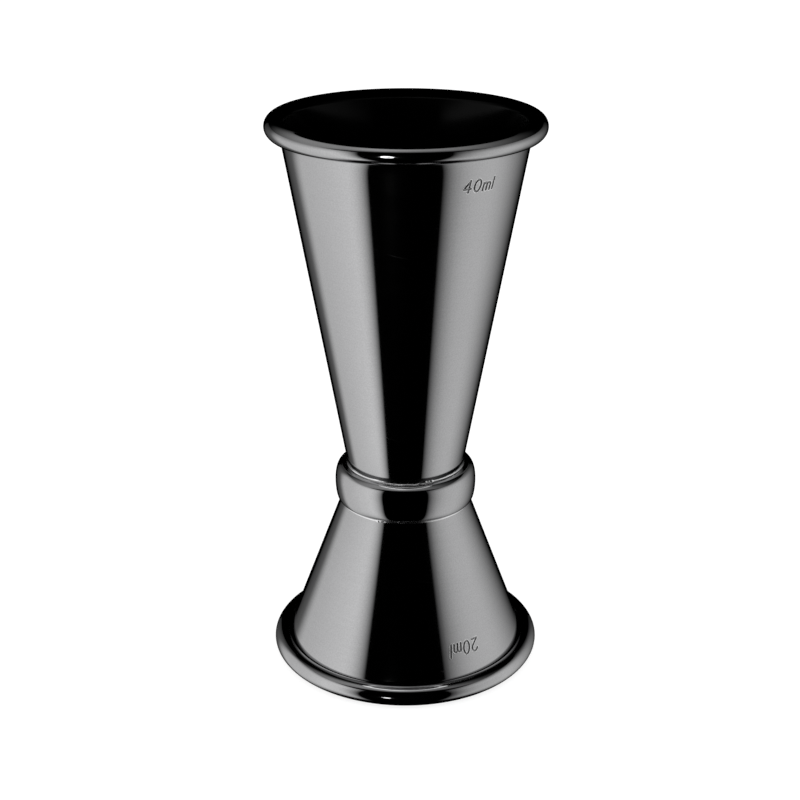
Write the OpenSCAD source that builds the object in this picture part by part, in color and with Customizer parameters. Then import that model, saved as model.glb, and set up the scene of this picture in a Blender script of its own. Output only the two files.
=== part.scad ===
// Bar jigger: two conical measuring cups, joined floor to floor inside a waist ring.
// The 40 ml cup opens upwards. The 20 ml cup opens downwards, and its rolled rim is the foot.
// The origin is the centre of the foot, on the surface that the jigger stands on. +Z is up.

/* [Overall] */
// Height over both rolled rims
total_h = 94; // [92:0.5:98]
// Height of the joint between the two cup floors
waist_h = 31; // [30.6:0.1:31.4]
// Thickness of the sheet that both cups are spun from
sheet_t = 1.2; // [0.8:0.1:1.3]

/* [40 ml cup] */
// Outer diameter over the rolled rim
rim_d = 44.6; // [43.6:0.1:46]
// Diameter of the cup just above its floor
large_floor_d = 19.1; // [18.6:0.1:19.4]

/* [20 ml cup] */
// Outer diameter over the rolled rim, which is the foot
foot_d = 46; // [45:0.1:48]
// Diameter of the cup just below its floor
small_floor_d = 21.3; // [20.8:0.1:21.6]

/* [Rolled rims] */
// Diameter of the roll of both rims
bead_d = 3.35; // [3.1:0.05:3.6]
// Depth of the narrow flat on each roll, where the jigger rests on it
land_depth = 0.03; // [0.02:0.01:0.06]
// Gap between the end of the roll and the outside of the cone
roll_gap = 0.2; // [0.1:0.05:0.3]
// Radius inside each cup, between its cone and its floor
corner_r = 1; // [0.6:0.1:1.2]

/* [Waist ring] */
// Largest diameter of the ring
ring_d = 23.9; // [23.7:0.1:25]
// Height of the ring's upper edge
ring_top = 34.7; // [34.4:0.1:35]
// Height at which the ring is widest
ring_mid = 31.65; // [31.2:0.05:32]
// Height of the ring's lower edge
ring_bottom = 28.5; // [28.2:0.1:28.8]
// Radius of the solder fillet along the ring's upper edge
upper_solder_r = 0.3; // [0.2:0.05:0.4]
// Radius of the solder fillet along the ring's lower edge
lower_solder_r = 0.35; // [0.2:0.05:0.5]

/* [Floor braze] */
// Diameter of the brazed disc between the two floors
braze_d = 12; // [8:1:14]
// Thickness of the brazed disc
braze_t = 0.4; // [0.2:0.1:0.5]

/* [Hidden] */
// Facets of a full circle
$fn = 128;
// Steps along one turn of a roll, and along the quarter rounds
roll_steps = 36;
round_steps = 12;
steel = [0.42, 0.42, 0.43];
solder = [0.55, 0.55, 0.56];
outer_r = corner_r + sheet_t;
bead_r = bead_d / 2;
core_r = bead_r - sheet_t;

// A cup is [height, radius at the floor, distance of the roll's centre from the axis,
// radius of the solder fillet on its cone]. Its own frame stands it on its floor, with the mouth up.
large = [total_h - waist_h - braze_t / 2, large_floor_d / 2, rim_d / 2 - bead_r, upper_solder_r];
small = [waist_h - braze_t / 2, small_floor_d / 2, foot_d / 2 - bead_r, lower_solder_r];

function arc(centre, r, from, to, steps) =
    [for (i = [0:steps]) centre + r * [cos(from + (to - from) * i / steps), sin(from + (to - from) * i / steps)]];

// Centres of the corner round and of the roll in a cup's half section
function corner_centre(cup) = [cup[1] - outer_r, outer_r];
function roll_centre(cup) = [cup[2], cup[0] - bead_r + land_depth];

// Lean of the wall. The inside of the cone touches the corner round below and the roll above.
function wall_lean(cup) = line_lean(roll_centre(cup) - corner_centre(cup));
function line_lean(way) = atan2(way[0], way[1]) - asin((bead_r + corner_r) / norm(way));

// Radius of the outside of the cone at height y in the cup's own frame
function wall_x(cup, y) =
    corner_centre(cup)[0] + outer_r / cos(wall_lean(cup)) + (y - outer_r) * tan(wall_lean(cup));

// Height at which the corner round ends and the straight cone begins
function cone_start(cup) = outer_r * (1 - sin(wall_lean(cup)));

// Width of a ring edge that a solder fillet covers
function solder_w(cup) = cup[3] * (1 + sin(wall_lean(cup))) / cos(wall_lean(cup));

// Half section of the sheet: floor, corner round, cone, and a roll that turns outwards
// round a hollow core until it comes back to the outside of the cone.
module cup_section(cup) {
    lean = wall_lean(cup);
    roll_end = acos((core_r - roll_gap) / bead_r) - 180 - lean;
    difference() {
        polygon(concat(
            [[0, 0]],
            arc(corner_centre(cup), outer_r, -90, -lean, round_steps),
            arc(roll_centre(cup), core_r, 180 - lean, roll_end, roll_steps),
            arc(roll_centre(cup), bead_r, roll_end, 180 - lean, roll_steps),
            arc(corner_centre(cup), corner_r, -lean, -90, round_steps),
            [[0, sheet_t]]
        ));
        translate([0, cup[0]])
            square([cup[2] + bead_d, bead_d]);
    }
}

// Half section of a fillet between the outside of a cone and a flat edge at height y
module solder_section(cup, y) {
    lean = wall_lean(cup);
    x = wall_x(cup, y);
    centre = [x + solder_w(cup), y + cup[3]];
    polygon(concat([[x, y]], arc(centre, cup[3], -90, -180 - lean, round_steps)));
}

// Stands a cup's half section, spun round, on the joint with its mouth up
module stand_large() {
    translate([0, 0, waist_h + braze_t / 2])
        rotate_extrude()
            children();
}

// Hangs a cup's half section, spun round, below the joint with its mouth down
module hang_small() {
    translate([0, 0, waist_h - braze_t / 2])
        mirror([0, 0, 1])
            rotate_extrude()
                children();
}

module large_cup() {
    color(steel)
        stand_large()
            cup_section(large);
}

module small_cup() {
    color(steel)
        hang_small()
            cup_section(small);
}

module floor_braze() {
    color(solder)
        translate([0, 0, waist_h - braze_t / 2])
            cylinder(d = braze_d, h = braze_t);
}

// Bulging collar whose bore follows both cones. The cups' corner rounds leave a small
// hollow behind it, and a narrow flat at each edge carries the solder.
module waist_ring() {
    top_y = ring_top - waist_h - braze_t / 2;
    bottom_y = waist_h - braze_t / 2 - ring_bottom;
    top_x = wall_x(large, top_y) + solder_w(large);
    bottom_x = wall_x(small, bottom_y) + solder_w(small);
    color(steel)
        rotate_extrude()
            polygon(concat(
                [[wall_x(large, top_y), ring_top]],
                [for (i = [0:round_steps - 1]) let (a = 90 - 90 * i / round_steps)
                    [top_x + (ring_d / 2 - top_x) * cos(a), ring_mid + (ring_top - ring_mid) * sin(a)]],
                [for (i = [0:round_steps]) let (a = 90 * i / round_steps)
                    [bottom_x + (ring_d / 2 - bottom_x) * cos(a), ring_mid - (ring_mid - ring_bottom) * sin(a)]],
                [[wall_x(small, bottom_y), ring_bottom]],
                [[wall_x(small, cone_start(small)), waist_h - braze_t / 2 - cone_start(small)]],
                [[wall_x(large, cone_start(large)), waist_h + braze_t / 2 + cone_start(large)]]
            ));
}

module upper_solder() {
    color(solder)
        stand_large()
            solder_section(large, ring_top - waist_h - braze_t / 2);
}

module lower_solder() {
    color(solder)
        hang_small()
            solder_section(small, waist_h - braze_t / 2 - ring_bottom);
}

large_cup();
small_cup();
floor_braze();
waist_ring();
upper_solder();
lower_solder();
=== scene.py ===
import math
import bmesh
import bpy
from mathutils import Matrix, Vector


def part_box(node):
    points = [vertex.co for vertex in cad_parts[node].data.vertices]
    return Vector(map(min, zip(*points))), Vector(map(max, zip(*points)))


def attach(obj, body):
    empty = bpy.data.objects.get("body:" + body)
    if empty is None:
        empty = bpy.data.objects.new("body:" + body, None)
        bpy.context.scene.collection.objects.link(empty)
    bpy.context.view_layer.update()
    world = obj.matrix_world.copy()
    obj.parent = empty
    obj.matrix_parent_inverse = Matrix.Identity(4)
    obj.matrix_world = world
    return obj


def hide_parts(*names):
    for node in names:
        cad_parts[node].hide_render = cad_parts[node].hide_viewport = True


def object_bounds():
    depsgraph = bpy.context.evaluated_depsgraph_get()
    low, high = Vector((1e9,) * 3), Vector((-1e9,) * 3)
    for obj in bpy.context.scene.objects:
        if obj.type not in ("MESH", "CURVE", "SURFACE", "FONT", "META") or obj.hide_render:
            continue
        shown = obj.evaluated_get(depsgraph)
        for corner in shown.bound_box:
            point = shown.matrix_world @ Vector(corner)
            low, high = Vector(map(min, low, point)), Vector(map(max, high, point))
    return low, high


# A bar jigger: two cups spun from sheet, joined floor to floor inside a soldered waist ring.
# Every piece is a half section spun round the upright axis. Lengths are metres, angles are degrees.

mm = 0.001
weldGap = 0.001 * mm    # points closer than this are one

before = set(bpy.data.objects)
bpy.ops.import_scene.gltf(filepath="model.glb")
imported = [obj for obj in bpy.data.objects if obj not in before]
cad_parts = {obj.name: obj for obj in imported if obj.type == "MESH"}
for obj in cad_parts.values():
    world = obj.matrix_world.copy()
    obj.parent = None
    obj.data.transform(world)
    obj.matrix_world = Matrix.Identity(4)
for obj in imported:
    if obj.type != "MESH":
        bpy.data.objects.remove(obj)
cadLow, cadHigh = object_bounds()
print("frame loaded:", sorted(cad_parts))


# One output socket of a node tree, so that maths on sockets is written as plain expressions
class Wire:
    def __init__(self, graph, socket):
        self.graph = graph
        self.socket = socket

    def join(self, operation, first, second):
        return self.graph.maths(operation, first, second)

    def __add__(self, other):
        return self.join("ADD", self, other)

    def __radd__(self, other):
        return self.join("ADD", other, self)

    def __sub__(self, other):
        return self.join("SUBTRACT", self, other)

    def __rsub__(self, other):
        return self.join("SUBTRACT", other, self)

    def __mul__(self, other):
        return self.join("MULTIPLY", self, other)

    def __rmul__(self, other):
        return self.join("MULTIPLY", other, self)

    def __truediv__(self, other):
        return self.join("DIVIDE", self, other)

    def __rtruediv__(self, other):
        return self.join("DIVIDE", other, self)


# Builds nodes in a shader tree or a geometry tree
class Graph:
    def __init__(self, tree):
        self.tree = tree
        tree.nodes.clear()

    def add(self, kind, settings=None, sockets=None):
        made = self.tree.nodes.new(kind)
        for name, value in (settings or {}).items():
            setattr(made, name, value)
        for name, value in (sockets or {}).items():
            self.feed(made.inputs[name], value)
        return made

    def wire(self, kind, settings=None, sockets=None, output=0):
        return Wire(self, self.add(kind, settings, sockets).outputs[output])

    def feed(self, socket, value):
        if isinstance(value, Wire):
            self.tree.links.new(value.socket, socket)
        else:
            socket.default_value = value

    # numbers go through Math and vectors through Vector Math
    def maths(self, operation, first, second=None):
        wires = [w for w in (first, second) if isinstance(w, Wire)]
        vector = any(w.socket.type == "VECTOR" for w in wires)
        made = self.tree.nodes.new("ShaderNodeVectorMath" if vector else "ShaderNodeMath")
        made.operation = operation
        self.feed(made.inputs[0], first)
        if second is not None:
            self.feed(made.inputs[1], second)
        return Wire(self, made.outputs[0])

    # 0 below low, 1 above high, and a smooth rise between
    def rise(self, value, low, high):
        spans = {"Value": value, "From Min": low, "From Max": high}
        return self.wire("ShaderNodeMapRange", {"interpolation_type": "SMOOTHSTEP"}, spans)

    def parts(self, vector):
        made = self.add("ShaderNodeSeparateXYZ", None, {0: vector})
        return [Wire(self, output) for output in made.outputs]

    def joined(self, x, y, z):
        return self.wire("ShaderNodeCombineXYZ", None, {"X": x, "Y": y, "Z": z})

    # a colour between two colours
    def mixed(self, share, first, second):
        made = self.add("ShaderNodeMix", {"data_type": "RGBA", "clamp_factor": True},
                        {0: share, 6: first, 7: second})
        return Wire(self, made.outputs[2])

    def noise(self, vector, detail=2.0, roughness=0.5):
        sockets = {"Vector": vector, "Scale": 1.0, "Detail": detail, "Roughness": roughness}
        return self.wire("ShaderNodeTexNoise", None, sockets)


# Opens a geometry tree whose sizes are named inputs after the geometry itself
def geometryTree(name, inputs):
    tree = bpy.data.node_groups.new(name, "GeometryNodeTree")
    graph = Graph(tree)
    tree.interface.new_socket("Geometry", in_out="INPUT", socket_type="NodeSocketGeometry")
    for label, kind in inputs.items():
        tree.interface.new_socket(label, in_out="INPUT", socket_type="NodeSocket" + kind)
    tree.interface.new_socket("Geometry", in_out="OUTPUT", socket_type="NodeSocketGeometry")
    entry = graph.add("NodeGroupInput")
    wires = {socket.name: Wire(graph, socket) for socket in entry.outputs if socket.name}
    return graph, wires


# Ends a geometry tree in one real mesh with its material
def closeTree(graph, geometry, material):
    real = graph.wire("GeometryNodeRealizeInstances", None, {"Geometry": geometry})
    painted = graph.wire("GeometryNodeSetMaterial", None, {"Geometry": real, "Material": material})
    graph.add("NodeGroupOutput", None, {"Geometry": painted})
    return graph.tree


# Spins a half section, drawn in the XZ plane, round the Z axis. The turn has coarse steps all
# round and a stretch of fine steps where something is engraved.
def spinTree():
    graph, given = geometryTree("spinSection", {
        "Coarse Steps": "Int", "Fine Steps": "Int", "Fine Start": "Float", "Fine Turn": "Float",
        "Crease": "Float", "Material": "Material"})
    section = given["Geometry"]
    count = graph.wire("GeometryNodeAttributeDomainSize", {"component": "MESH"}, {"Geometry": section})
    coarse, fine = given["Coarse Steps"], given["Fine Steps"]
    size = {"Size X": 1.0, "Size Y": 1.0, "Vertices X": coarse + fine + 1, "Vertices Y": count}
    grid = graph.wire("GeometryNodeMeshGrid", None, size)
    index = graph.wire("GeometryNodeInputIndex")
    column = graph.maths("FLOOR", (index + 0.5) / count)
    row = index - column * count
    fineTurn = given["Fine Turn"]
    fineShare = graph.maths("MINIMUM", column, fine) / graph.maths("MAXIMUM", fine, 1.0)
    coarseShare = graph.maths("MAXIMUM", column - fine, 0.0) / coarse
    angle = given["Fine Start"] + fineShare * fineTurn + coarseShare * (math.tau - fineTurn)
    place = graph.wire("GeometryNodeInputPosition")
    sampling = {"data_type": "FLOAT_VECTOR", "domain": "POINT"}
    point = graph.wire("GeometryNodeSampleIndex", sampling,
                       {"Geometry": section, "Value": place, "Index": row})
    radius, _, height = graph.parts(point)
    across, along = graph.maths("COSINE", angle), graph.maths("SINE", angle)
    spun = graph.joined(radius * across, radius * along, height)
    shell = graph.wire("GeometryNodeSetPosition", None, {"Geometry": grid, "Position": spun})
    shell = graph.wire("GeometryNodeMergeByDistance", None, {"Geometry": shell, "Distance": weldGap})
    shell = graph.wire("GeometryNodeSetShadeSmooth", {"domain": "FACE"}, {"Geometry": shell})
    bend = graph.wire("GeometryNodeInputMeshEdgeAngle")
    sharp = {"Geometry": shell, "Shade Smooth": False,
             "Selection": graph.wire("FunctionNodeCompare", {"operation": "GREATER_THAN"},
                                     {0: bend, 1: given["Crease"]})}
    shell = graph.wire("GeometryNodeSetShadeSmooth", {"domain": "EDGE"}, sharp)
    return closeTree(graph, shell, given["Material"])


# Presses a stroke into a skin: a round-bottomed groove with a slight lip, and a mask with which the finish
# paints shade into the groove and glints on the lip
def engraveTree():
    graph, given = geometryTree("engraveStrokes", {
        "Strokes": "Object", "Depth": "Float", "Half Width": "Float", "Lip": "Float",
        "Material": "Material"})
    strokes = graph.wire("GeometryNodeObjectInfo", {"transform_space": "ORIGINAL"},
                         {"Object": given["Strokes"]}, "Geometry")
    away = graph.wire("GeometryNodeProximity", {"target_element": "EDGES"},
                      {0: strokes}, "Distance")
    share = away / given["Half Width"]
    groove = 1 - graph.rise(share, 0.25, 1.0)
    lip = graph.rise(share, 0.8, 1.15) * (1 - graph.rise(share, 1.15, 1.9))
    outward = graph.wire("GeometryNodeInputNormal")
    push = lip * given["Lip"] - groove * given["Depth"]
    shift = graph.maths("MULTIPLY", outward, graph.joined(push, push, push))
    skin = graph.wire("GeometryNodeSetPosition", None, {"Geometry": given["Geometry"], "Offset": shift})
    stored = {"Geometry": skin, "Name": "engraved", "Value": groove - lip}
    skin = graph.wire("GeometryNodeStoreNamedAttribute", {"data_type": "FLOAT", "domain": "POINT"}, stored)
    return closeTree(graph, skin, given["Material"])


# Lets a run of solder wander and swell a little, as a hand-run fillet does, with a few spatters
def solderTree():
    graph, given = geometryTree("wanderSolder", {
        "Wander": "Float", "Ripple Size": "Float", "Spatter": "Float", "Spatter Size": "Float",
        "Spatter Turn": "Float", "Spatter Spread": "Float", "Seed": "Float", "Material": "Material"})
    place = graph.wire("GeometryNodeInputPosition")
    noise = {"noise_dimensions": "4D"}
    swell = graph.wire("ShaderNodeTexNoise", noise, {
        "Vector": place, "W": given["Seed"], "Scale": 1 / given["Ripple Size"], "Detail": 2.0})
    drops = graph.wire("ShaderNodeTexNoise", noise, {
        "Vector": place, "W": given["Seed"] + 7, "Scale": 1 / given["Spatter Size"], "Detail": 1.0})
    x, y, _ = graph.parts(place)
    away = graph.maths("ABSOLUTE", graph.maths("ARCTAN2", y, x) - given["Spatter Turn"])
    here = 1 - graph.rise(away / given["Spatter Spread"], 0.6, 1.0)
    push = (swell - 0.5) * given["Wander"] + graph.rise(drops, 0.52, 0.68) * here * given["Spatter"]
    outward = graph.wire("GeometryNodeInputNormal")
    shift = graph.maths("MULTIPLY", outward, graph.joined(push, push, push))
    bead = graph.wire("GeometryNodeSetPosition", None, {"Geometry": given["Geometry"], "Offset": shift})
    return closeTree(graph, bead, given["Material"])


# Puts a geometry tree on an object. Inputs are set by the socket's identifier.
def addTree(thing, tree, values):
    modifier = thing.modifiers.new(tree.name, "NODES")
    modifier.node_group = tree
    identifiers = {item.name: item.identifier for item in tree.interface.items_tree
                   if item.item_type == "SOCKET" and item.in_out == "INPUT"}
    for name, value in values.items():
        modifier[identifiers[name]] = value


# Turns the evaluated trees into a plain mesh and hands the piece to the frame
def finishPiece(thing, node):
    bpy.context.view_layer.update()
    evaluated = thing.evaluated_get(bpy.context.evaluated_depsgraph_get())
    plain = bpy.data.meshes.new_from_object(evaluated)
    thing.modifiers.clear()
    thing.data = plain
    skin = bmesh.new()
    skin.from_mesh(plain)
    bmesh.ops.remove_doubles(skin, verts=skin.verts, dist=weldGap)
    bmesh.ops.recalc_face_normals(skin, faces=skin.faces)
    skin.to_mesh(plain)
    skin.free()
    plain.name = thing.name
    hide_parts(node)
    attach(thing, "root")
    print(f"{thing.name}: {len(plain.polygons)} faces, stands for {node}")


# A mesh of open polylines, linked to the scene
def lineMesh(name, lines):
    points = [point for line in lines for point in line]
    edges = []
    start = 0
    for line in lines:
        edges += [(start + i, start + i + 1) for i in range(len(line) - 1)]
        start += len(line)
    data = bpy.data.meshes.new(name)
    data.from_pydata(points, edges, [])
    thing = bpy.data.objects.new(name, data)
    bpy.context.scene.collection.objects.link(thing)
    return thing


# Points of a round in a half section, from one angle to another
def arc(centre, radius, start, end, steps):
    turn = [math.radians(start + (end - start) * i / steps) for i in range(steps + 1)]
    return [(centre[0] + radius * math.cos(a), centre[1] + radius * math.sin(a)) for a in turn]


# Points between two points of a half section, without its ends
def between(first, last, shares):
    return [(first[0] + (last[0] - first[0]) * s, first[1] + (last[1] - first[1]) * s) for s in shares]


sheet = {
    "thickness": 1.2 * mm,
    "insideCorner": 1.0 * mm,   # between a cup's floor and its cone
    "rollDiameter": 3.35 * mm,
    "rollGap": 0.2 * mm,        # from the end of the roll to the cone
    "flareReach": 0.8 * mm,     # length over which the cone swings out or in beside its roll
    "rollLand": 0.03 * mm,      # depth of the flat that the roll rests on
    "rollSteps": 44,
    "cornerSteps": 10,
    "coarseSteps": 216,
    "wallSteps": (10, 24),      # rows below and above the mark
    "insideSteps": 16,
    "markRows": 46,
    "markMargin": 0.35 * mm,    # of fine rows beside the mark
}

largeCup = {
    "node": "large_cup",
    "mouthUp": True,
    "floorDiameter": 19.1 * mm,
    "flare": 0.12 * mm,         # how far the cone swings out beside its roll
    "mark": "40ml",
    "markCentre": 35.0,         # degrees round to the right of the front
    "markBelowMouth": 8.4 * mm,  # from the mouth down to the line the figures stand on
    "markHeight": 1.85 * mm,
    "markWidth": 5.75 * mm,
}

smallCup = {
    "node": "small_cup",
    "mouthUp": False,
    "floorDiameter": 21.3 * mm,
    "flare": -0.07 * mm,
    "mark": "20ml",
    "markCentre": 32.1,
    "markBelowMouth": 8.4 * mm,
    "markHeight": 2.1 * mm,
    "markWidth": 5.6 * mm,
}


# Works out a cup's outline in its own frame: floor at height 0, mouth up
def measureCup(cup):
    low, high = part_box(cup["node"])
    rollRadius = sheet["rollDiameter"] / 2
    inner = sheet["insideCorner"]
    outer = inner + sheet["thickness"]
    height = high.z - low.z
    corner = (cup["floorDiameter"] / 2 - outer, outer)
    roll = (high.x - rollRadius, height - rollRadius + sheet["rollLand"])
    across, up = roll[0] - corner[0], roll[1] - corner[1]
    lean = math.atan2(across, up) - math.asin((rollRadius + inner) / math.hypot(across, up))
    floorZ = low.z if cup["mouthUp"] else high.z
    return {"height": height, "corner": corner, "roll": roll, "lean": lean, "outer": outer,
            "inner": inner, "rollRadius": rollRadius, "floorZ": floorZ,
            "way": 1 if cup["mouthUp"] else -1}


# Distance of the outside of the cone from the axis, at a height in the cup's own frame
def wallAt(shape, y):
    return shape["corner"][0] + shape["outer"] / math.cos(shape["lean"]) \
        + (y - shape["outer"]) * math.tan(shape["lean"])


# From the cup's own frame to the jigger's
def placed(shape, points):
    return [(x, 0, shape["floorZ"] + shape["way"] * y) for x, y in points]


# Heights of the rows along the outer wall: a few, and many where the mark is
def wallRows(shape, cup, start, end):
    below, above = sheet["wallSteps"]
    markRows, margin = sheet["markRows"], sheet["markMargin"]
    length = math.hypot(end[0] - start[0], end[1] - start[1])
    base = shape["height"] - cup["markBelowMouth"]
    low = (base - margin - start[1]) / math.cos(shape["lean"]) / length
    high = low + (cup["markHeight"] + 2 * margin) / length
    rows = [low * i / below for i in range(1, below)]
    rows += [low + (high - low) * i / markRows for i in range(markRows + 1)]
    rows += [high + (1 - high) * i / above for i in range(1, above)]
    return rows


# How far the cone has swung out at a height. It grows up to the lip and is gone inside the roll.
def flareAt(flare, y, lipHeight, rollStart):
    if y < lipHeight:
        return flare * math.exp((y - lipHeight) / sheet["flareReach"])
    return flare * max(0.0, rollStart - y) / (rollStart - lipHeight)


# Half section of the sheet: floor, corner, cone, and the roll that turns outwards to its lip
def cupSection(shape, cup):
    lean = math.degrees(shape["lean"])
    core = shape["rollRadius"] - sheet["thickness"]
    lip = math.degrees(math.acos((core - sheet["rollGap"]) / shape["rollRadius"])) - 180 - lean
    outerCorner = arc(shape["corner"], shape["outer"], -90, -lean, sheet["cornerSteps"])
    coreRound = arc(shape["roll"], core, 180 - lean, lip, sheet["rollSteps"] // 2)
    rollRound = arc(shape["roll"], shape["rollRadius"], lip, 180 - lean, sheet["rollSteps"])
    innerCorner = arc(shape["corner"], shape["inner"], -lean, -90, sheet["cornerSteps"])
    outside = between(outerCorner[-1], coreRound[0], wallRows(shape, cup, outerCorner[-1], coreRound[0]))
    lipHeight, rollStart = rollRound[0][1], coreRound[0][1]
    outside = [(x + flareAt(cup["flare"], y, lipHeight, rollStart), y) for x, y in outside]
    rows = sheet["insideSteps"]
    inside = between(rollRound[-1], innerCorner[0], [i / rows for i in range(1, rows)])
    points = [(0, 0)] + outerCorner + outside + coreRound + rollRound + inside + innerCorner
    points.append((0, sheet["thickness"]))
    return [(x, min(y, shape["height"])) for x, y in points]


# Plain single-stroke figures, one unit high: each has its width and its strokes
def figures():
    oval = [(0.29 + 0.29 * math.cos(a), 0.5 + 0.5 * math.sin(a))
            for a in (math.tau * i / 28 for i in range(29))]
    hook = arc((0.28, 0.71), 0.28, 165, -38, 14)
    archA = arc((0.17, 0.47), 0.17, 180, 0, 9)
    archB = arc((0.51, 0.47), 0.17, 180, 0, 9)
    return {
        "4": (0.64, [[(0.46, 0), (0.46, 1), (0, 0.3), (0.64, 0.3)]]),
        "2": (0.58, [hook + [(0.02, 0.02), (0.58, 0.02)]]),
        "0": (0.58, [oval]),
        "m": (0.68, [[(0, 0.64), (0, 0)], archA + [(0.34, 0)], archB + [(0.68, 0)]]),
        "l": (0.0, [[(0, 1), (0, 0)]]),
    }


lettering = {
    "gap": 0.3,          # between figures, as a share of their height
    "slant": 0.16,       # sideways lean, as a share of their height
    "margin": 1.0 * mm,  # of fine steps round the mark, both sides together
    "halfWidth": 0.165 * mm,
    "depth": 0.09 * mm,
    "lip": 0.012 * mm,
    "fineSteps": 124,
    "cuts": 4,           # pieces that a straight stroke is cut into, to follow the cone
}


# Lays the mark's strokes on the outside of the cone and returns them as a mesh of lines
def markStrokes(cup, shape):
    shapes = figures()
    cuts = lettering["cuts"]
    strokes = []
    pen = 0
    for letter in cup["mark"]:
        width, lines = shapes[letter]
        strokes += [[(pen + x + lettering["slant"] * y, y) for x, y in line] for line in lines]
        pen += width + lettering["gap"]
    total = pen - lettering["gap"] + lettering["slant"]
    stretch = cup["markWidth"] / total
    base = shape["height"] - cup["markBelowMouth"]
    middle = wallAt(shape, base + cup["markHeight"] / 2)
    laid = []
    for line in strokes:
        dense = [line[0]]
        for first, last in zip(line, line[1:]):
            dense += between(first, last, [i / cuts for i in range(1, cuts + 1)])
        points = []
        for x, y in dense:
            height = base + y * cup["markHeight"] * math.cos(shape["lean"])
            turn = (x - total / 2) * stretch / middle * shape["way"] + math.radians(cup["markCentre"] - 90)
            radius = wallAt(shape, height)
            points.append((radius * math.cos(turn), radius * math.sin(turn),
                           shape["floorZ"] + shape["way"] * height))
        laid.append(points)
    return lineMesh(cup["node"] + "MarkStrokes", laid)


gunmetal = {
    "colour": (0.42, 0.42, 0.425),
    "lineSpacing": 0.3 * mm,    # of the fine lines that spinning leaves
    "lineLength": 14 * mm,
    "grain": 0.22 * mm,         # of the plating
    "reliefDepth": 0.0009 * mm,
    "roughness": 0.065,
    "ringRoughness": 0.045,
    "brushed": 0.2,             # how far a reflection is drawn out across the lines
    "lines": 0.7,               # strength of the lines on the cups
    "ringLines": 0.3,           # and on the ring
    "broadShare": 0.13,         # spacing of the fine lines over that of the broad ones
    "smears": (90.0, 90.0, 45.0),       # per metre along x, y and z
    "scratches": (60, 900, 1400),       # per metre along and across them
    "scratchCover": (0.735, 0.77),      # noise that begins a scratch, and a full one
    "wearBand": 0.5 * mm,       # width of the band round the roll that hands touch
    "shades": (0.88, 1.12),     # darkest and lightest over the colour
    # painted shade: the inside of each cup and the inner shoulder of its roll are coloured near black
    "inside": {"colour": (0.01, 0.01, 0.01), "dull": 0.07, "relief": 1.2,
               "edge": (0.7 * mm, 1.15 * mm)},      # where it ends, out from the inner skin
    # painted shade in the engraved grooves: a dark colour, with more roughness and relief
    "shadedGroove": {"colour": (0.1, 0.1, 0.1), "cover": 0.85, "dull": 0.15, "grit": 8},
    # painted glints: the lips beside the grooves are speckled near white
    "glintedLip": {"colour": (0.9, 0.9, 0.9), "dull": 0.1, "grit": 5},
    # what each mark of use adds to the roughness, to the tint and to the relief
    "dull": {"smears": 0.05, "lines": 0.03, "scratches": 0.06, "wear": 0.05},
    "tint": {"smears": 0.4, "lines": 0.4, "grain": 1.2, "wear": 0.3},
    "relief": {"smears": 1.5, "grain": 0.12, "scratches": -0.4},
}


def newMaterial(name):
    material = bpy.data.materials.new(name)
    material.use_nodes = True
    return material, Graph(material.node_tree)


def shade(colour, amount):
    return tuple(amount * c for c in colour) + (1,)


# Where the inside of a cup is painted near black as painted shade: 1 on the inside of a cup and round the
# inner shoulder of its roll, 0 outside
def insidePaintedShade(graph, shape, radius, z):
    own = (z - shape["floorZ"]) * shape["way"]
    skin = wallAt(shape, 0) - (shape["outer"] - shape["inner"]) / math.cos(shape["lean"])
    past = radius - skin - own * math.tan(shape["lean"])
    return 1 - graph.rise(past, *gunmetal["inside"]["edge"])
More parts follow.
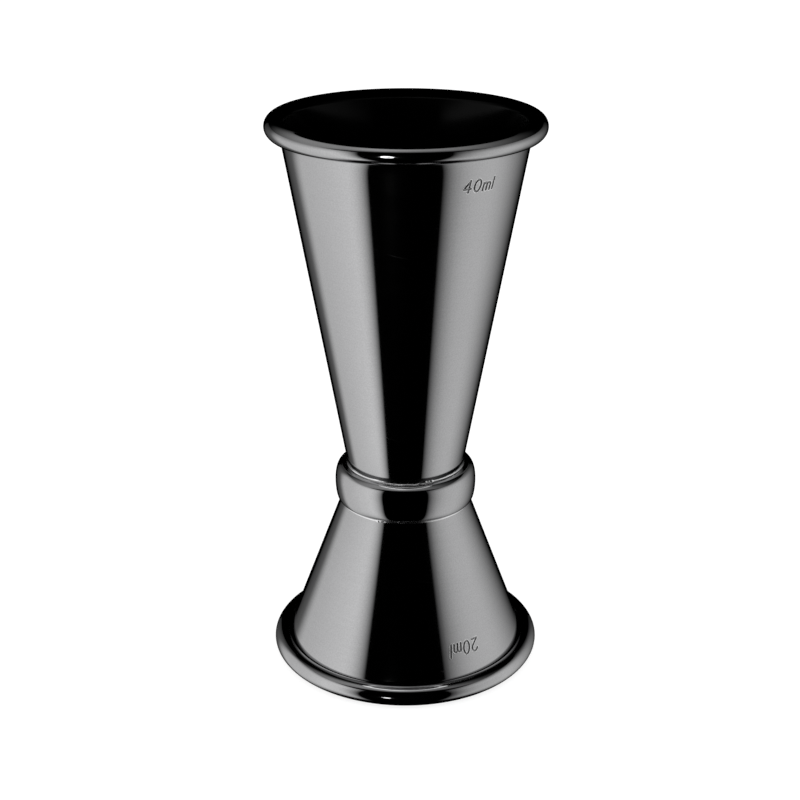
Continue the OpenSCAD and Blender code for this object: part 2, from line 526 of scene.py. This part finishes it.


# Dark nickel over spun steel. Fine lines run round the piece over the grain of the plating;
# handling leaves faint smears, hairline scratches, and bright wear where the roll is touched.
# Inside the cups the colour is painted near black as painted shade; engraved grooves get painted shade and
# the lips beside them painted glints.
def gunmetalFinish(name, lines, shine, wearRadius, shape=None):
    material, graph = newMaterial(name)
    place = graph.wire("ShaderNodeTexCoord", None, None, "Object")
    x, y, z = graph.parts(place)
    radius = graph.maths("SQRT", x * x + y * y)
    along = (z + radius) / gunmetal["lineSpacing"]
    length = gunmetal["lineLength"]
    fineLines = graph.noise(graph.joined(x / length, y / length, along), 3.0, 0.62)
    broadLines = graph.noise(graph.joined(x / length, y / length, along * gunmetal["broadShare"]), 2.0, 0.5)
    fine = 1 / gunmetal["grain"]
    grain = graph.noise(graph.maths("MULTIPLY", place, (fine, fine, fine)), 2.0, 0.6)
    smears = graph.noise(graph.maths("MULTIPLY", place, gunmetal["smears"]), 3.0, 0.55)
    lengthwise, sideways, upright = gunmetal["scratches"]
    tilted = graph.joined((x + z) * lengthwise, (y - z * 0.4) * sideways, (z + x * 0.3) * upright)
    scratches = graph.rise(graph.noise(tilted, 1.0, 0.5), *gunmetal["scratchCover"])
    touched = graph.rise(radius, wearRadius - gunmetal["wearBand"], wearRadius)
    wear = touched * graph.rise(smears, 0.45, 0.62)
    dull = gunmetal["dull"]
    roughness = shine + (smears - 0.5) * dull["smears"] + (broadLines - 0.5) * dull["lines"] * lines
    roughness = roughness + scratches * dull["scratches"] + wear * dull["wear"]
    share = gunmetal["tint"]
    tint = 0.5 + (fineLines - 0.5) * share["lines"] * lines + (grain - 0.5) * share["grain"]
    tint = tint + (smears - 0.5) * share["smears"] + wear * share["wear"]
    raised = gunmetal["relief"]
    height = fineLines * lines + broadLines * lines + grain * raised["grain"]
    height = height + scratches * raised["scratches"] + smears * raised["smears"]
    dark, light = gunmetal["shades"]
    colour = graph.mixed(tint, shade(gunmetal["colour"], dark), shade(gunmetal["colour"], light))
    if shape:
        inner, shadedGroove, glintedLip = gunmetal["inside"], gunmetal["shadedGroove"], gunmetal["glintedLip"]
        inside = insidePaintedShade(graph, shape, radius, z)
        # inside the cup: rougher, more lined, and coloured near black as painted shade
        roughness = roughness + inside * inner["dull"]
        height = height + inside * (fineLines + broadLines) * inner["relief"]
        colour = graph.mixed(inside, colour, shade(inner["colour"], 1.0))
        engraved = graph.wire("ShaderNodeAttribute", {"attribute_name": "engraved"}, None, "Fac")
        groove = graph.maths("MAXIMUM", engraved, 0.0)
        lip = graph.maths("MAXIMUM", engraved * -1, 0.0)
        # painted shade: the grooves are coloured dark
        colour = graph.mixed(groove * shadedGroove["cover"], colour, shade(shadedGroove["colour"], 1.0))
        # painted highlight: bright specks on the lips beside the grooves
        colour = graph.mixed(lip * graph.rise(grain, 0.4, 0.55), colour, shade(glintedLip["colour"], 1.0))
        roughness = roughness + groove * shadedGroove["dull"] + lip * glintedLip["dull"]
        height = height + groove * grain * shadedGroove["grit"] + lip * grain * glintedLip["grit"]
    relief = graph.wire("ShaderNodeBump", None,
                        {"Strength": 1.0, "Distance": gunmetal["reliefDepth"], "Height": height})
    metal = graph.wire("ShaderNodeBsdfPrincipled", None, {
        "Base Color": colour, "Metallic": 1.0, "Roughness": roughness,
        "Anisotropic": gunmetal["brushed"], "Anisotropic Rotation": 0.25, "Normal": relief})
    graph.add("ShaderNodeOutputMaterial", None, {"Surface": metal})
    return material


solderLook = {
    "colour": (0.74, 0.74, 0.745),
    "ripple": 0.45 * mm,
    "rippleDepth": 0.003 * mm,
    "grainsPerMetre": 7000.0,
    "roughness": 0.1,
    "shades": (0.85, 1.15),
}


# Silver solder under the same dark plating: brighter, and rippled where it froze
def solderFinish():
    material, graph = newMaterial("silverSolder")
    place = graph.wire("ShaderNodeTexCoord", None, None, "Object")
    ripple = 1 / solderLook["ripple"]
    ripples = graph.noise(graph.maths("MULTIPLY", place, (ripple, ripple, ripple)), 2.0, 0.5)
    fine = solderLook["grainsPerMetre"]
    grain = graph.noise(graph.maths("MULTIPLY", place, (fine, fine, fine)), 2.0, 0.6)
    dark, light = solderLook["shades"]
    colour = graph.mixed(ripples * 0.7 + grain * 0.3,
                         shade(solderLook["colour"], dark), shade(solderLook["colour"], light))
    relief = graph.wire("ShaderNodeBump", None, {
        "Strength": 1.0, "Distance": solderLook["rippleDepth"], "Height": ripples + grain * 0.15})
    metal = graph.wire("ShaderNodeBsdfPrincipled", None, {
        "Base Color": colour, "Metallic": 1.0,
        "Roughness": solderLook["roughness"] + grain * 0.1, "Normal": relief})
    graph.add("ShaderNodeOutputMaterial", None, {"Surface": metal})
    return material


spin = spinTree()
engrave = engraveTree()
wander = solderTree()
crease = math.radians(32)   # an edge that bends more than this looks sharp


# Spins a cup and presses its mark into it
def makeCup(name, cup, shape, material):
    section = placed(shape, cupSection(shape, cup))
    if not cup["mouthUp"]:
        section.reverse()   # so that the faces still point outwards
    thing = lineMesh(name, [section])
    strokes = markStrokes(cup, shape)
    radius = wallAt(shape, shape["height"] - cup["markBelowMouth"])
    fineTurn = (cup["markWidth"] + lettering["margin"]) / radius
    addTree(thing, spin, {
        "Coarse Steps": sheet["coarseSteps"], "Fine Steps": lettering["fineSteps"],
        "Fine Start": math.radians(cup["markCentre"] - 90) - fineTurn / 2, "Fine Turn": fineTurn,
        "Crease": crease, "Material": material})
    addTree(thing, engrave, {
        "Strokes": strokes, "Depth": lettering["depth"], "Half Width": lettering["halfWidth"],
        "Lip": lettering["lip"], "Material": material})
    finishPiece(thing, cup["node"])
    bpy.data.objects.remove(strokes)


# Spins a closed section without a mark. A run of solder also wanders and spatters.
def makeSpun(name, node, section, steps, material, run=None):
    thing = lineMesh(name, [[(x, 0, z) for x, z in section]])
    addTree(thing, spin, {"Coarse Steps": steps, "Fine Steps": 0, "Fine Start": 0.0, "Fine Turn": 0.0,
                          "Crease": crease, "Material": material})
    if run:
        addTree(thing, wander, {
            "Wander": run["wander"], "Ripple Size": run["rippleSize"],
            "Spatter": run["spatter"], "Spatter Size": run["spatterSize"],
            "Spatter Turn": math.radians(run["spatterAt"] - 90),
            "Spatter Spread": math.radians(run["spatterSpread"]),
            "Seed": run["seed"], "Material": material})
    finishPiece(thing, node)


rimRadius = max(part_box("large_cup")[1].x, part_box("small_cup")[1].x)
large, small = measureCup(largeCup), measureCup(smallCup)
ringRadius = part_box("waist_ring")[1].x
lines = gunmetal["lines"]
largeSteel = gunmetalFinish("largeCupGunmetal", lines, gunmetal["roughness"], rimRadius, large)
smallSteel = gunmetalFinish("smallCupGunmetal", lines, gunmetal["roughness"], rimRadius, small)
ringSteel = gunmetalFinish("ringGunmetal", gunmetal["ringLines"], gunmetal["ringRoughness"], ringRadius)
silverSolder = solderFinish()

makeCup("largeCup", largeCup, large, largeSteel)
makeCup("smallCup", smallCup, small, smallSteel)

ring = {
    "middle": 31.65 * mm,   # height at which the ring is widest
    "bulge": (0.85 * mm, 2.72 * mm),        # half width and height of the round above the middle
    "shoulder": 1.9 * mm,   # radius of the softer shoulder that follows it up to the edge
    "shoulderTilt": (38, 62),               # slope of the skin along that shoulder
    "steps": 20,            # along each round
    "turnSteps": 216,
}

fillet = {
    "upperRadius": 0.3 * mm,
    "lowerRadius": 0.35 * mm,
    "steps": 9,
    "turnSteps": 360,
    "wander": 0.1 * mm,
    "rippleSize": 1.6 * mm,
    "spatter": 0.16 * mm,
    "spatterSize": 0.55 * mm,
}


# Height in a cup's own frame of a height in the jigger's
def ownHeight(shape, z):
    return (z - shape["floorZ"]) * shape["way"]


# Width of a ring edge that a fillet covers
def filletWidth(shape):
    radius = filletRadius(shape)
    return radius * (1 + math.sin(shape["lean"])) / math.cos(shape["lean"])


def filletRadius(shape):
    return fillet["upperRadius"] if shape is large else fillet["lowerRadius"]


# Bulging collar. Below its middle it is a quarter ellipse. Above, an ellipse runs into a round
# shoulder and a flat edge. The bore follows both cones.
def ringSection():
    low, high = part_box("waist_ring")
    widest = high.x
    topX = wallAt(large, ownHeight(large, high.z))
    bottomX = wallAt(small, ownHeight(small, low.z))
    quarter = [math.pi / 2 * i / ring["steps"] for i in range(ring["steps"] + 1)]
    middle = ring["middle"]
    bottomEdge = bottomX + filletWidth(small)
    lower = [(bottomEdge + (widest - bottomEdge) * math.sin(a), middle - (middle - low.z) * math.cos(a))
             for a in quarter]
    width, height = ring["bulge"]
    start = math.radians(ring["shoulderTilt"][0])
    last = math.atan(math.tan(start) * height / width)
    turns = [last * i / ring["steps"] for i in range(1, ring["steps"] + 1)]
    upper = [(widest - width + width * math.cos(a), middle + height * math.sin(a)) for a in turns]
    radius = ring["shoulder"]
    centre = (upper[-1][0] - radius * math.cos(start), upper[-1][1] - radius * math.sin(start))
    upper += arc(centre, radius, *ring["shoulderTilt"], ring["steps"])[1:]
    upper[-1] = (upper[-1][0], high.z)
    upper.append(((topX + upper[-1][0]) / 2, high.z))      # halfway across the flat edge
    smallStart = small["outer"] * (1 - math.sin(small["lean"]))
    largeStart = large["outer"] * (1 - math.sin(large["lean"]))
    bore = [(wallAt(large, largeStart), large["floorZ"] + largeStart),
            (wallAt(small, smallStart), small["floorZ"] - smallStart)]
    return [(bottomX, low.z)] + lower + upper + [(topX, high.z)] + bore + [(bottomX, low.z)]


# Fillet between a cone and a flat edge of the ring
def filletSection(shape, z):
    height = ownHeight(shape, z)
    x = wallAt(shape, height)
    radius = filletRadius(shape)
    centre = (x + filletWidth(shape), height + radius)
    hollow = arc(centre, radius, -90, -180 - math.degrees(shape["lean"]), fillet["steps"])
    points = [(x, height)] + hollow + [(x, height)]
    section = [(px, shape["floorZ"] + shape["way"] * py) for px, py in points]
    return section if shape["way"] > 0 else section[::-1]


makeSpun("waistRing", "waist_ring", ringSection(), ring["turnSteps"], ringSteel)
makeSpun("upperSolder", "upper_solder", filletSection(large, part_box("waist_ring")[1].z),
         fillet["turnSteps"], silverSolder,
         dict(fillet, seed=2.5, spatterAt=21, spatterSpread=10))
makeSpun("lowerSolder", "lower_solder", filletSection(small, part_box("waist_ring")[0].z),
         fillet["turnSteps"], silverSolder,
         dict(fillet, seed=3.5, spatterAt=-23, spatterSpread=7))

braze = {
    "edgeSteps": 8,
    "turnSteps": 120,
}


# The braze between the two floors: a disc with a bulging edge
def brazeSection():
    low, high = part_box("floor_braze")
    half = (high.z - low.z) / 2
    edge = arc((high.x - half, (high.z + low.z) / 2), half, -90, 90, braze["edgeSteps"])
    return [(0, low.z)] + edge + [(0, high.z)]


makeSpun("floorBraze", "floor_braze", brazeSection(), braze["turnSteps"], silverSolder)


# The studio: a dark room with a tall curved softbox on each side, soft panels overhead and small
# lamps in front. The camera sees none of them, only what the metal makes of them.
studio = {
    "wallReach": 140 * mm,
    "wallTop": 134 * mm,
    "wallFoot": (-262 * mm, -66 * mm),      # from dark to full
    "wallSteps": 48,
    "ceiling": 118 * mm,
    "ceilingReach": 122 * mm,
    "ceilingFront": (41 * mm, 80 * mm),     # towards the camera, from full to dark
    "crownHeight": 117 * mm,
    "crownReach": (20 * mm, 36 * mm),       # inner and outer radius
    "crownSteps": 64,
    "lampTurn": -14.5,      # round from the front, with the left below 0
    "lampReach": 338 * mm,
    "lampCorners": 32,
}

# A softbox begins at near, counted in degrees round from the front to its own side. It comes up
# over width, dims a little with every degree after that, and falls over far to the dim strip
# that runs on to its end.
leftSoftbox = {
    "name": "leftSoftbox",
    "side": -1,
    "head": (62 * mm, 172 * mm),            # from full to dark, above the top of the box
    "near": 34.7,
    "width": 24,
    "power": 2.2,           # how quickly it comes up
    "strength": 1.145,
    "dimming": 0.0055,
    "far": (110, 130),
    "end": 146,
    "strip": (0.067, 0.0085),   # share of the full light at the end, and its rise a degree before it
}

rightSoftbox = {
    "name": "rightSoftbox",
    "side": 1,
    "head": (45 * mm, 165 * mm),
    "near": 34,
    "width": 52,
    "power": 2.9,
    "strength": 0.88,
    "dimming": 0,
    "far": (84, 154),
    "end": 148,
    "strip": (0, 0),
}

# The overhead panel is dark behind and brightest a little to the left of the front
overhead = {
    "strength": 0.45,
    "span": ((-140, -75), (-10, 125)),      # from dark to full and back, round from the front
    "middle": -15,
    "middleWidth": 30,
    "middleStrength": 0.17,
    "reach": (26.5 * mm, 43 * mm),          # from dark to full, outwards
    "outerReach": (50 * mm, 85 * mm),       # over which it dims a little
    "outerDimming": 0.09,
}

# The small round panel straight above glows all round, and more on the left and at the right
crown = {
    "strength": 0.95,
    "leftSpan": ((-150, -75), (-20, 14)),
    "leftStrength": 0.75,
    "rightSpan": ((45, 80), (110, 140)),
    "rightStrength": 0.25,
}

# Two small oval lamps low in front, each for one cup: its spark on that cup's roll
rimLamp = {
    "name": "rimLamp",
    "catches": "largeCup",
    "width": 64 * mm,
    "heights": (-90 * mm, 30 * mm),
    "strength": 4.5,
}

footLamp = {
    "name": "footLamp",
    "catches": "smallCup",
    "width": 42 * mm,
    "heights": (-64 * mm, 2 * mm),
    "strength": 3.4,
}


# A panel, a lamp or the floor of the studio, which is no part of the jigger
def addStaged(name, points, faces, material, seen=False):
    data = bpy.data.meshes.new(name)
    data.from_pydata(points, [], faces)
    data.materials.append(material)
    thing = bpy.data.objects.new(name, data)
    bpy.context.scene.collection.objects.link(thing)
    thing.visible_camera = seen
    thing.visible_diffuse = seen
    thing.visible_shadow = False
    return thing


# 0 outside a span, 1 inside it, and smooth at both of its ends
def band(graph, value, span):
    return graph.rise(value, *span[0]) * (1 - graph.rise(value, *span[1]))


# Degrees round from the front, with the left below 0
def frontTurn(graph, x, y):
    return graph.maths("ARCTAN2", x, y * -1) * math.degrees(1)


# A glowing white skin. Its light is a function that gives the strength at a place.
def glowMaterial(name, light):
    material, graph = newMaterial(name)
    place = graph.wire("ShaderNodeTexCoord", None, None, "Object")
    strength = light(graph, *graph.parts(place))
    glow = graph.wire("ShaderNodeEmission", None, {"Color": (1, 1, 1, 1), "Strength": strength})
    graph.add("ShaderNodeOutputMaterial", None, {"Surface": glow})
    return material


# A tall curved softbox that fades to its foot, to its head and across its width
def softbox(box):
    def light(graph, x, y, z):
        fade = graph.rise(z, *studio["wallFoot"]) * (1 - graph.rise(z, *box["head"]))
        turn = frontTurn(graph, x, y) * box["side"]
        full = box["near"] + box["width"]
        short = graph.maths("MAXIMUM", graph.maths("MINIMUM", (full - turn) / box["width"], 1.0), 0.0)
        level = box["strength"] - (turn - full) * box["dimming"]
        edge = 1 - graph.maths("POWER", short, box["power"])
        endShare, stripRise = box["strip"]
        strip = endShare + (box["end"] - turn) * stripRise
        far = 1 - graph.rise(turn, *box["far"]) * (1 - strip)
        return level * edge * far * fade
    steps, reach = studio["wallSteps"], studio["wallReach"]
    start, end = box["near"], box["end"]
    points, faces = [], []
    for i in range(steps + 1):
        angle = math.radians(start + (end - start) * i / steps) * box["side"]
        for z in (studio["wallFoot"][0], studio["wallTop"]):
            points.append((reach * math.sin(angle), -reach * math.cos(angle), z))
        if i:
            faces.append((2 * i - 2, 2 * i - 1, 2 * i + 1, 2 * i))
    addStaged(box["name"], points, faces, glowMaterial(box["name"] + "Glow", light))


# A soft panel overhead, open in the middle and to the back, and dimmer to the right
def overheadPanel():
    def light(graph, x, y, z):
        reach = graph.maths("SQRT", x * x + y * y)
        turn = frontTurn(graph, x, y)
        away = graph.maths("ABSOLUTE", turn - overhead["middle"])
        middle = 1 - graph.rise(away, 0, overhead["middleWidth"])
        level = band(graph, turn, overhead["span"]) * overhead["strength"]
        level = level + middle * overhead["middleStrength"]
        outer = 1 - graph.rise(reach, *overhead["outerReach"]) * overhead["outerDimming"]
        front = 1 - graph.rise(y * -1, *studio["ceilingFront"])
        return level * outer * graph.rise(reach, *overhead["reach"]) * front
    reach, z = studio["ceilingReach"], studio["ceiling"]
    points = [(-reach, -reach, z), (reach, -reach, z), (reach, reach, z), (-reach, reach, z)]
    addStaged("overheadPanel", points, [(0, 1, 2, 3)], glowMaterial("overheadGlow", light))


# Lets a light fall on the named pieces only
def lightOnly(light, names):
    catching = bpy.data.collections.new(light.name + "Catches")
    for name in names:
        catching.objects.link(bpy.data.objects[name])
    light.light_linking.receiver_collection = catching


# A round panel straight above, which only the pieces below the rim catch
def crownPanel():
    def light(graph, x, y, z):
        turn = frontTurn(graph, x, y)
        left = band(graph, turn, crown["leftSpan"]) * crown["leftStrength"]
        return crown["strength"] + left + band(graph, turn, crown["rightSpan"]) * crown["rightStrength"]
    steps, z = studio["crownSteps"], studio["crownHeight"]
    points, faces = [], []
    for i in range(steps):
        a = math.tau * i / steps
        points += [(reach * math.cos(a), reach * math.sin(a), z) for reach in studio["crownReach"]]
        after = (i + 1) % steps
        faces.append((2 * i, 2 * i + 1, 2 * after + 1, 2 * after))
    panel = addStaged("crownPanel", points, faces, glowMaterial("crownGlow", light))
    lightOnly(panel, ("smallCup", "waistRing", "upperSolder"))


# An upright oval lamp, which only one cup catches
def ovalLamp(lamp):
    turn, reach = math.radians(studio["lampTurn"]), studio["lampReach"]
    low, high = lamp["heights"]
    centre = Vector((reach * math.sin(turn), -reach * math.cos(turn), (low + high) / 2))
    right = Vector((math.cos(turn), math.sin(turn), 0)) * lamp["width"] / 2
    up = Vector((0, 0, (high - low) / 2))
    corners = studio["lampCorners"]
    turns = [math.tau * i / corners for i in range(corners)]
    points = [centre + right * math.cos(a) + up * math.sin(a) for a in turns]
    light = glowMaterial(lamp["name"] + "Glow", lambda graph, x, y, z: lamp["strength"])
    lightOnly(addStaged(lamp["name"], points, [tuple(range(corners))], light), (lamp["catches"],))


softbox(leftSoftbox)
softbox(rightSoftbox)
overheadPanel()
crownPanel()
ovalLamp(rimLamp)
ovalLamp(footLamp)


floorLook = {
    "grey": 0.3,
    "glow": 0.8,
    "reach": 3.0,
    "drop": 0.02 * mm,      # below the foot
    "fill": 1.12,           # white light on the floor from all round
}


# The pale ground that the jigger stands on
def paleFloor():
    material, graph = newMaterial("paleFloor")
    matt = graph.wire("ShaderNodeBsdfPrincipled", None, {
        "Base Color": shade((1, 1, 1), floorLook["grey"]), "Roughness": 0.9, "Specular IOR Level": 0.0,
        "Emission Color": (1, 1, 1, 1), "Emission Strength": floorLook["glow"]})
    graph.add("ShaderNodeOutputMaterial", None, {"Surface": matt})
    reach, z = floorLook["reach"], cadLow.z - floorLook["drop"]
    points = [(-reach, -reach, z), (reach, -reach, z), (reach, reach, z), (-reach, reach, z)]
    floor = addStaged("floor", points, [(0, 1, 2, 3)], material, seen=True)
    floor.visible_glossy = False    # so that the metal sees only the dark studio below it


# White round the camera's view, white fill on the floor, and a dark studio in the metal
def studioAir():
    world = bpy.data.worlds.new("studioAir")
    world.use_nodes = True
    bpy.context.scene.world = world
    graph = Graph(world.node_tree)
    path = graph.add("ShaderNodeLightPath")
    seen = Wire(graph, path.outputs["Is Camera Ray"])
    filled = Wire(graph, path.outputs["Is Diffuse Ray"])
    strength = graph.maths("MAXIMUM", seen, filled * floorLook["fill"])
    light = graph.wire("ShaderNodeBackground", None, {"Color": (1, 1, 1, 1), "Strength": strength})
    graph.add("ShaderNodeOutputWorld", None, {"Surface": light})


cameraSetup = {
    "place": (0, -244.84 * mm, 144.45 * mm),
    "down": 21.954,
    "left": 0.2185,
    "lens": 70.87,          # lens and sensor are in millimetres, as a camera's are
    "sensor": 36,
    "nearest": 5 * mm,
}


def addCamera():
    data = bpy.data.cameras.new("camera")
    data.lens = cameraSetup["lens"]
    data.sensor_width = cameraSetup["sensor"]
    data.clip_start = cameraSetup["nearest"]
    camera = bpy.data.objects.new("camera", data)
    camera.location = cameraSetup["place"]
    camera.rotation_euler = (math.radians(90 - cameraSetup["down"]), 0, math.radians(cameraSetup["left"]))
    bpy.context.scene.collection.objects.link(camera)
    bpy.context.scene.camera = camera


paleFloor()
studioAir()
addCamera()
bpy.context.scene.view_settings.view_transform = "Standard"
print("studio ready")
